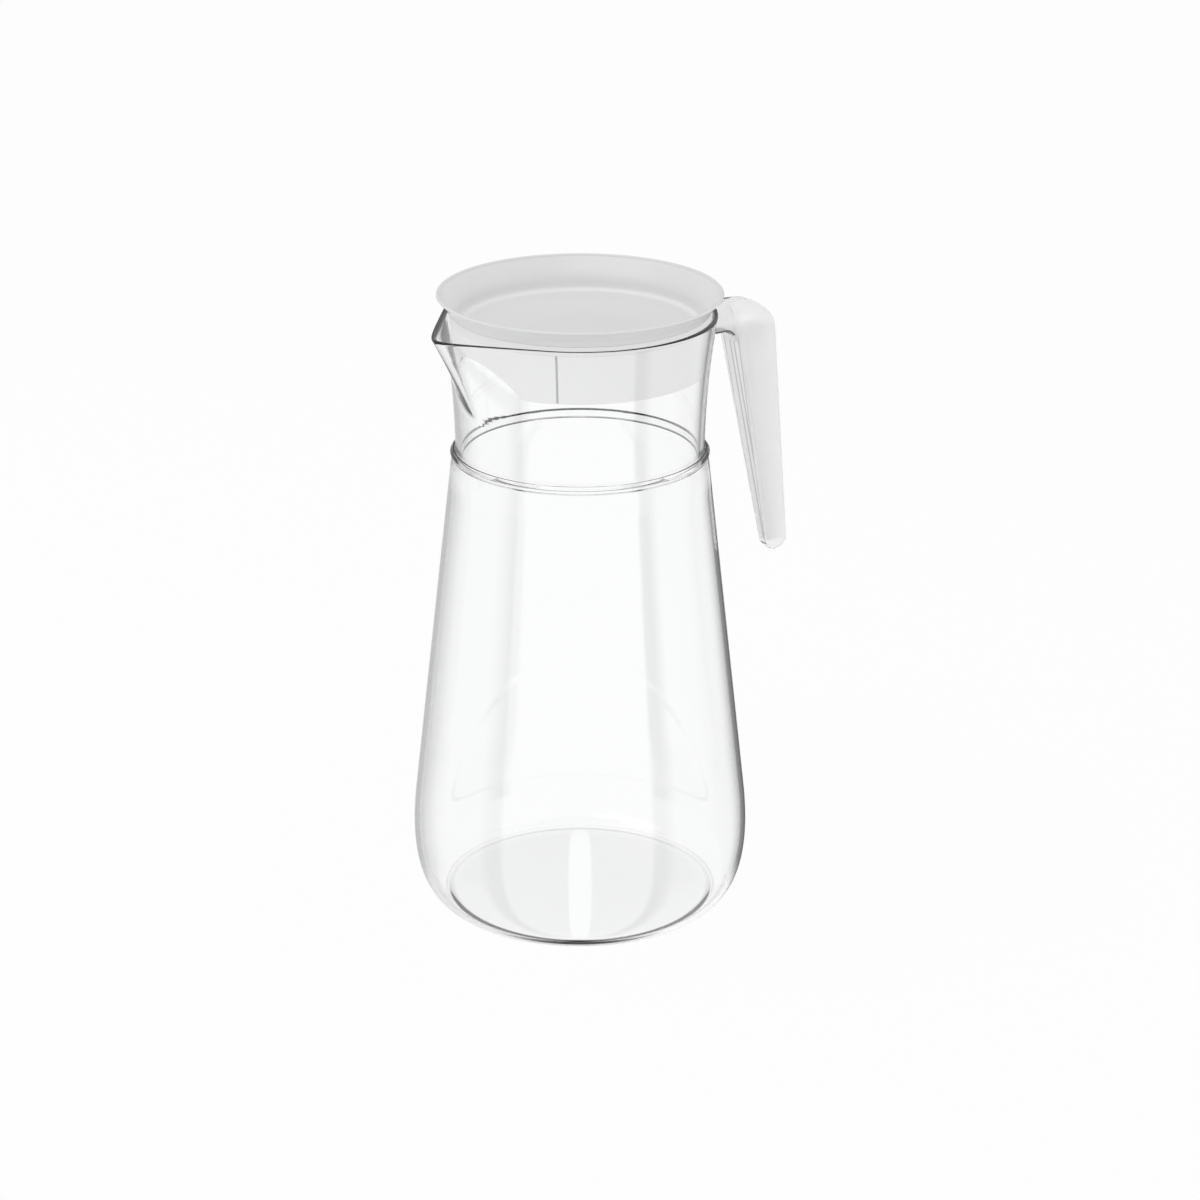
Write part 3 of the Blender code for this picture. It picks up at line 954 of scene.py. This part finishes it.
@dataclass
class Lid(Piece):
    """The dish, the plug skirt below it and the soft ring between them."""

    collar: Collar
    radius: float = 0.05665
    rise: float = 0.0085
    dish_depth: float = 0.0130
    dish_round: float = 0.0016
    painted_highlight_fade: Point = (0.0004, 0.0040)   # where the painted highlight in the dish's corner fades
    wall: float = 0.0016
    clearance: float = 0.0005
    skirt_wall: float = 0.0014
    skirt_drop: float = 0.0222
    pour_half_width: float = 0.0235
    pour_rise: float = 0.0120
    groove_width: float = 0.0009
    groove_depth: float = 0.0008
    groove_angle: float = math.radians(45)   # from the middle of the pour opening
    groove_top_band: float = 0.0004
    seal_height: float = 0.0028
    shelf_rise: float = 0.0013
    gap: float = 0.0003
    edge: float = 0.0003
    chamfer: float = 0.00015
    touch: float = 0.00002
    curve_steps: int = 24
    round_steps: int = 12
    skirt_steps: int = 10
    arch_steps: int = 256

    def __post_init__(self) -> None:
        """Work out the heights and radii that follow from the sizes."""
        self.top = self.collar.rim + self.rise
        self.dish_floor = self.top - self.dish_depth
        self.cup_bottom = self.dish_floor - self.wall
        self.skirt_bottom = self.collar.rim - self.skirt_drop
        self.shelf = self.collar.rim + self.shelf_rise
        self.seal_top = self.shelf - self.gap
        self.seal_bottom = self.seal_top - self.seal_height
        self.skirt_top = self.seal_bottom - self.gap
        self.cup_radius = (self.collar.bore(self.cup_bottom) - self.clearance - self.skirt_wall
                           - self.gap)

    def painted_dish_highlight(self, tree: Shading, where: Socket) -> Socket:
        """Painted highlight in the corner of the dish.

        Args:
            tree: The material's nodes.
            where: Object coordinates.

        Returns:
            1 in the corner and 0 away from it.
        """
        x, y, z = tree.split(where)
        out = x.reach(y) - (self.cup_radius - self.wall)
        # Painted highlight: lighter near the corner between the dish's wall and floor.
        return 1 - tree.step(out.reach(z - self.dish_floor), self.painted_highlight_fade)

    def painted_groove_shade(self, tree: Shading, where: Socket) -> Socket:
        """Painted shade in the two grooves of the skirt.

        Args:
            tree: The material's nodes.
            where: Object coordinates.

        Returns:
            1 in a groove and 0 away from it.
        """
        x, y, _ = tree.split(where)
        off = x * math.sin(self.groove_angle) + y.size() * math.cos(self.groove_angle)
        # Painted shade along the middle of each groove.
        return tree.line(off, 0.0, self.groove_width / 4)

    def build_cover(self, finish: bpy.types.Material) -> None:
        """Make the dish.

        Args:
            finish: Its material.
        """
        lip = self.wall / 2
        shelf_radius = self.collar.bore(self.collar.rim) - self.clearance
        dish_radius = self.cup_radius - self.wall
        inside = sweep((dish_radius, self.dish_floor + self.dish_round), (dish_radius, self.shelf),
                       (shelf_radius - self.wall, self.shelf + self.rise / 4),
                       (self.radius - self.wall, self.top - lip), self.curve_steps)
        rim = arc((self.radius - lip, self.top - lip), lip, 180.0, 0.0, self.round_steps)
        pull = (shelf_radius + self.wall / 2, self.shelf + self.rise / 3)
        outside = sweep((self.radius, self.top - lip), pull, pull, (shelf_radius, self.shelf),
                        self.curve_steps)
        corner = arc((dish_radius - self.dish_round, self.dish_floor + self.dish_round),
                     self.dish_round, -90.0, 0.0, self.round_steps)
        profile = [(0.0, self.dish_floor), *corner, *inside[1:], *rim[1:], *outside[1:-1],
                   Corner(shelf_radius, self.shelf, self.edge),
                   Corner(self.cup_radius, self.shelf, self.edge),
                   Corner(self.cup_radius, self.cup_bottom, self.edge), (0.0, self.cup_bottom)]
        made = Workshop.finish("lid_dish", Workshop.turned(profile, False))
        self.settle(made, "lid_cover", Carrier.LID, "white_lid", finish)

    def pour_arch(self) -> bpy.types.Object:
        """Make the round bar that cuts the pour opening.

        Returns:
            The bar.
        """
        radius = (self.pour_half_width ** 2 + self.pour_rise ** 2) / (2 * self.pour_rise)
        reach = self.collar.rim_radius
        mesh = bmesh.new()
        place = (Matrix.Translation((-reach / 2 - self.skirt_wall, 0.0,
                                     self.skirt_bottom + self.pour_rise - radius))
                 @ Matrix.Rotation(math.pi / 2, 4, "Y"))
        bmesh.ops.create_cone(mesh, cap_ends=True, segments=self.arch_steps, radius1=radius,
                              radius2=radius, depth=reach, matrix=place)
        return Workshop.finish("pour_arch", mesh)

    def groove(self, hand: int) -> bpy.types.Object:
        """Make the thin bar that cuts one groove.

        Args:
            hand: Which side of the pour opening, 1 or -1.

        Returns:
            The bar.
        """
        top = self.skirt_top - self.groove_top_band
        bottom = self.skirt_bottom - self.skirt_wall
        height = (top + bottom) / 2
        foot = self.collar.bore(self.skirt_bottom)
        lean = math.atan2(self.collar.bore(self.skirt_top) - foot, self.skirt_top - self.skirt_bottom)
        reach = (foot - self.clearance - self.groove_depth
                 + (height - self.skirt_bottom) * math.tan(lean) + self.skirt_wall)
        place = (Matrix.Rotation(math.pi + hand * self.groove_angle, 4, "Z")
                 @ Matrix.Translation((reach, 0.0, height)) @ Matrix.Rotation(lean, 4, "Y")
                 @ Matrix.Diagonal((2 * self.skirt_wall, self.groove_width, top - bottom, 1.0)))
        mesh = bmesh.new()
        bmesh.ops.create_cube(mesh, size=1.0, matrix=place)
        return Workshop.finish("groove", mesh)

    def build_skirt(self, finish: bpy.types.Material) -> None:
        """Make the plug skirt.

        Args:
            finish: Its material.
        """
        bore = self.cup_radius + self.gap
        heights = spread(self.skirt_bottom, self.skirt_top, self.skirt_steps)
        outside = [(self.collar.bore(h) - self.clearance, h) for h in reversed(heights)]
        first, last = outside[0], outside[-1]
        profile = [Corner(*first, self.edge), *outside[1:-1], Corner(*last, self.edge),
                   Corner(last[0] - self.skirt_wall, last[1], self.edge), (bore, self.cup_bottom),
                   Corner(bore, self.skirt_top, self.edge)]
        made = Workshop.finish("lid_plug", Workshop.turned(profile, True))
        for tool in (self.pour_arch(), self.groove(1), self.groove(-1)):
            Workshop.combine(made, tool, Cut.AWAY)
        Workshop.crisp(made)
        self.settle(made, "lid_skirt", Carrier.LID, "white_skirt", finish)

    def build_seal(self, finish: bpy.types.Material) -> None:
        """Make the soft ring.

        Args:
            finish: Its material.
        """
        outer = self.collar.bore(self.seal_bottom) - self.gap
        inner = self.cup_radius + self.gap
        top, bottom = self.shelf - self.touch, self.skirt_top + self.touch
        profile = [Corner(outer, top, self.chamfer), Corner(outer, bottom, self.chamfer),
                   Corner(inner, bottom, self.edge), Corner(inner, top, self.edge)]
        made = Workshop.finish("lid_ring", Workshop.turned(profile, True))
        self.settle(made, "lid_seal", Carrier.RING, "soft_seal", finish)


@dataclass
class Studio:
    """Camera, pale floor and a bright surround with dark flags that only reflections show.

    Flags are stops of degrees round from the camera's side, and a grey level. Bands are the
    heights of a direction, from -1 below to 1 above, over which one set of flags gives way.
    """

    turn: float = math.radians(35.0)
    tilt: float = math.radians(21.254)
    distance: float = 1.3831
    aim_height: float = 0.12985
    lens: float = 102.0
    sensor: float = 36.0
    shift: float = 20.0 / 1200.0
    floor_size: float = 12.0
    floor_grey: float = 0.94
    floor_glow: float = 0.85
    floor_gap: float = 0.0003
    ambient: float = 0.90
    lamp_place: Colour = (-0.5, -0.3, 1.6)   # to the right, away from the camera and up
    lamp_size: float = 1.2
    lamp_power: float = 3.0
    deep_band: Point = (-0.84, -0.77)
    deep_turn: Point = (0.82, 0.90)          # half turns at which the lowest flag starts
    under_band: Point = (-0.56, -0.46)
    level_band: Point = (-0.03, 0.10)
    slit: Point = (0.0042, 0.0060)           # half width of the bright strip behind the jug
    under_flags: tuple[Point, ...] = (
        (-180, 1.0), (-166, 0.85), (-118, 0.85), (-74, 1.0), (-64, 0.1), (-56, 0.1), (-54, 1.0),
        (50, 1.0), (53, 0.0), (60, 0.0), (70, 1.0), (180, 1.0))
    low_flags: tuple[Point, ...] = (
        (-180, 1.0), (-172, 1.0), (-166, 0.6), (-118, 0.6), (-106, 0.85), (-74, 0.75), (-64, 0.1),
        (-56, 0.1), (-54, 1.0), (50, 1.0), (53, 0.0), (60, 0.0), (70, 0.85), (128, 0.95), (144, 0.4),
        (152, 0.3), (164, 0.2), (168, 0.0), (172, 1.0), (180, 1.0))
    high_flags: tuple[Point, ...] = (
        (-180, 0.4), (-168, 0.4), (-160, 0.8), (-60, 1.0), (60, 1.0), (160, 0.8), (168, 0.4), (180, 0.4))

    @property
    def away(self) -> Vector:
        """Level direction from the camera to the jug."""
        return Vector((math.sin(self.turn), math.cos(self.turn), 0.0))

    @property
    def right(self) -> Vector:
        """Level direction to the picture's right."""
        return Vector((math.cos(self.turn), -math.sin(self.turn), 0.0))

    def camera(self) -> None:
        """Stand the camera where the photograph was taken from."""
        data = bpy.data.cameras.new("camera")
        data.lens = self.lens
        data.sensor_width = self.sensor
        data.shift_x = self.shift
        item = bpy.data.objects.new("camera", data)
        item.location = (Vector((0.0, 0.0, self.aim_height + self.distance * math.sin(self.tilt)))
                         - self.away * self.distance * math.cos(self.tilt))
        item.rotation_euler = (math.pi / 2 - self.tilt, 0.0, -self.turn)
        bpy.context.scene.collection.objects.link(item)
        bpy.context.scene.camera = item

    @staticmethod
    def path(tree: Shading, name: str) -> Socket:
        """One fact about the ray that is being followed."""
        return tree.node("ShaderNodeLightPath", output=name)

    def seen(self, tree: Shading) -> Socket:
        """1 for rays that show the surround, in view, in gloss or through clear plastic."""
        direct = self.path(tree, "Is Camera Ray").either(self.path(tree, "Is Glossy Ray"))
        return direct.either(self.path(tree, "Is Transmission Ray"))

    def mirrored(self, tree: Shading) -> Socket:
        """1 for rays that have been reflected on their way."""
        return tree.node("ShaderNodeClamp", None, {"Value": self.path(tree, "Glossy Depth")})

    def floor(self) -> None:
        """Lay a white floor that keeps a soft shadow and lets reflections look past it."""
        mesh = bmesh.new()
        bmesh.ops.create_grid(mesh, x_segments=1, y_segments=1, size=self.floor_size / 2)
        bmesh.ops.translate(mesh, verts=mesh.verts, vec=(0.0, 0.0, -self.floor_gap))
        item = Workshop.finish("floor", mesh)
        material = bpy.data.materials.new("floor_white")
        material.use_nodes = True
        tree = Shading(material.node_tree)
        grey = (self.floor_grey, self.floor_grey, self.floor_grey, 1.0)
        paper = tree.node("ShaderNodeBsdfDiffuse", None, {"Color": grey})
        glow = tree.node("ShaderNodeEmission", None, {"Color": WHITE, "Strength": 1.0})
        white = tree.node("ShaderNodeMixShader", None,
                          {0: self.seen(tree) * self.floor_glow, 1: paper, 2: glow})
        clear = tree.node("ShaderNodeBsdfTransparent")
        mixed = tree.node("ShaderNodeMixShader", None,
                          {0: self.mirrored(tree) * self.seen(tree), 1: white, 2: clear})
        tree.node("ShaderNodeOutputMaterial", None, {"Surface": mixed})
        item.data.materials.append(material)

    def flags(self, tree: Shading) -> Socket:
        """Brightness of the surround by direction, as reflections show it.

        Args:
            tree: The world's nodes.

        Returns:
            A level from 0 to 1.
        """
        way = tree.node("ShaderNodeTexCoord", output="Generated")
        side = tree.node("ShaderNodeVectorMath", {"operation": "DOT_PRODUCT"},
                         {0: way, 1: self.right}, "Value")
        near = tree.node("ShaderNodeVectorMath", {"operation": "DOT_PRODUCT"},
                         {0: way, 1: -self.away}, "Value")
        turn = side.bearing(near) * (1 / math.pi)
        around = turn * 0.5 + 0.5
        under, low, high = (tree.node("ShaderNodeValToRGB", {
            "stops": [((angle + 180) / 360, grey) for angle, grey in stops]}, {"Fac": around})
            for stops in (self.under_flags, self.low_flags, self.high_flags))
        inner, outer = self.slit
        slit = 1 - tree.step(side * side, (inner ** 2, outer ** 2))
        slit = slit * (1 - tree.step(near, (-1.0, 0.0)))
        climb = tree.node("ShaderNodeSeparateXYZ", None, {"Vector": way}, "Z")
        level = tree.step(climb, self.level_band)
        lower = tree.step(climb, self.under_band)
        deep = (1 - tree.step(climb, self.deep_band)) * tree.step(turn.size(), self.deep_turn)
        upper = low * (1 - level) + high.either(slit) * level
        return (1 - deep) * (under * (1 - lower) + upper * lower)

    def sky(self) -> None:
        """Fill the surround: plain for light, white in view and through plastic, flagged in gloss."""
        world = bpy.data.worlds.new("studio")
        world.use_nodes = True
        bpy.context.scene.world = world
        tree = Shading(world.node_tree)
        seen = self.seen(tree)
        mirrored = self.mirrored(tree)
        shown = mirrored * self.flags(tree) + (1 - mirrored)
        level = seen * shown + (1 - seen) * self.ambient
        glow = tree.node("ShaderNodeBackground", None, {"Color": WHITE, "Strength": level})
        tree.node("ShaderNodeOutputWorld", None, {"Surface": glow})

    def lamp(self) -> None:
        """Hang a soft lamp that faces the jug."""
        data = bpy.data.lights.new("top_light", "AREA")
        data.size = self.lamp_size
        data.energy = self.lamp_power
        right, away, up = self.lamp_place
        place = Vector((0.0, 0.0, up)) + self.right * right + self.away * away
        facing = Vector((0.0, 0.0, self.aim_height)) - place
        item = bpy.data.objects.new("top_light", data)
        item.location = place
        item.rotation_euler = facing.to_track_quat("-Z", "Y").to_euler()
        bpy.context.scene.collection.objects.link(item)

    def build(self) -> None:
        """Set up the studio."""
        self.camera()
        self.floor()
        self.sky()
        self.lamp()


def main() -> None:
    """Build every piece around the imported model."""
    logging.basicConfig(level=logging.INFO, format="%(message)s")
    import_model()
    bpy.context.scene.view_settings.view_transform = "Standard"
    clear = CLEAR.make()
    collar = Collar()
    collar.build(clear)
    Body(collar).build(clear)
    handle = Handle(collar)
    handle.build(MILKY.make(handle.lines))
    lid = Lid(collar)
    lid.build_cover(LID_WHITE.make(lid.painted_dish_highlight))
    lid.build_skirt(SKIRT_WHITE.make(lid.painted_groove_shade))
    lid.build_seal(SOFT.make())
    Studio().build()


if __name__ == "__main__":
    main()
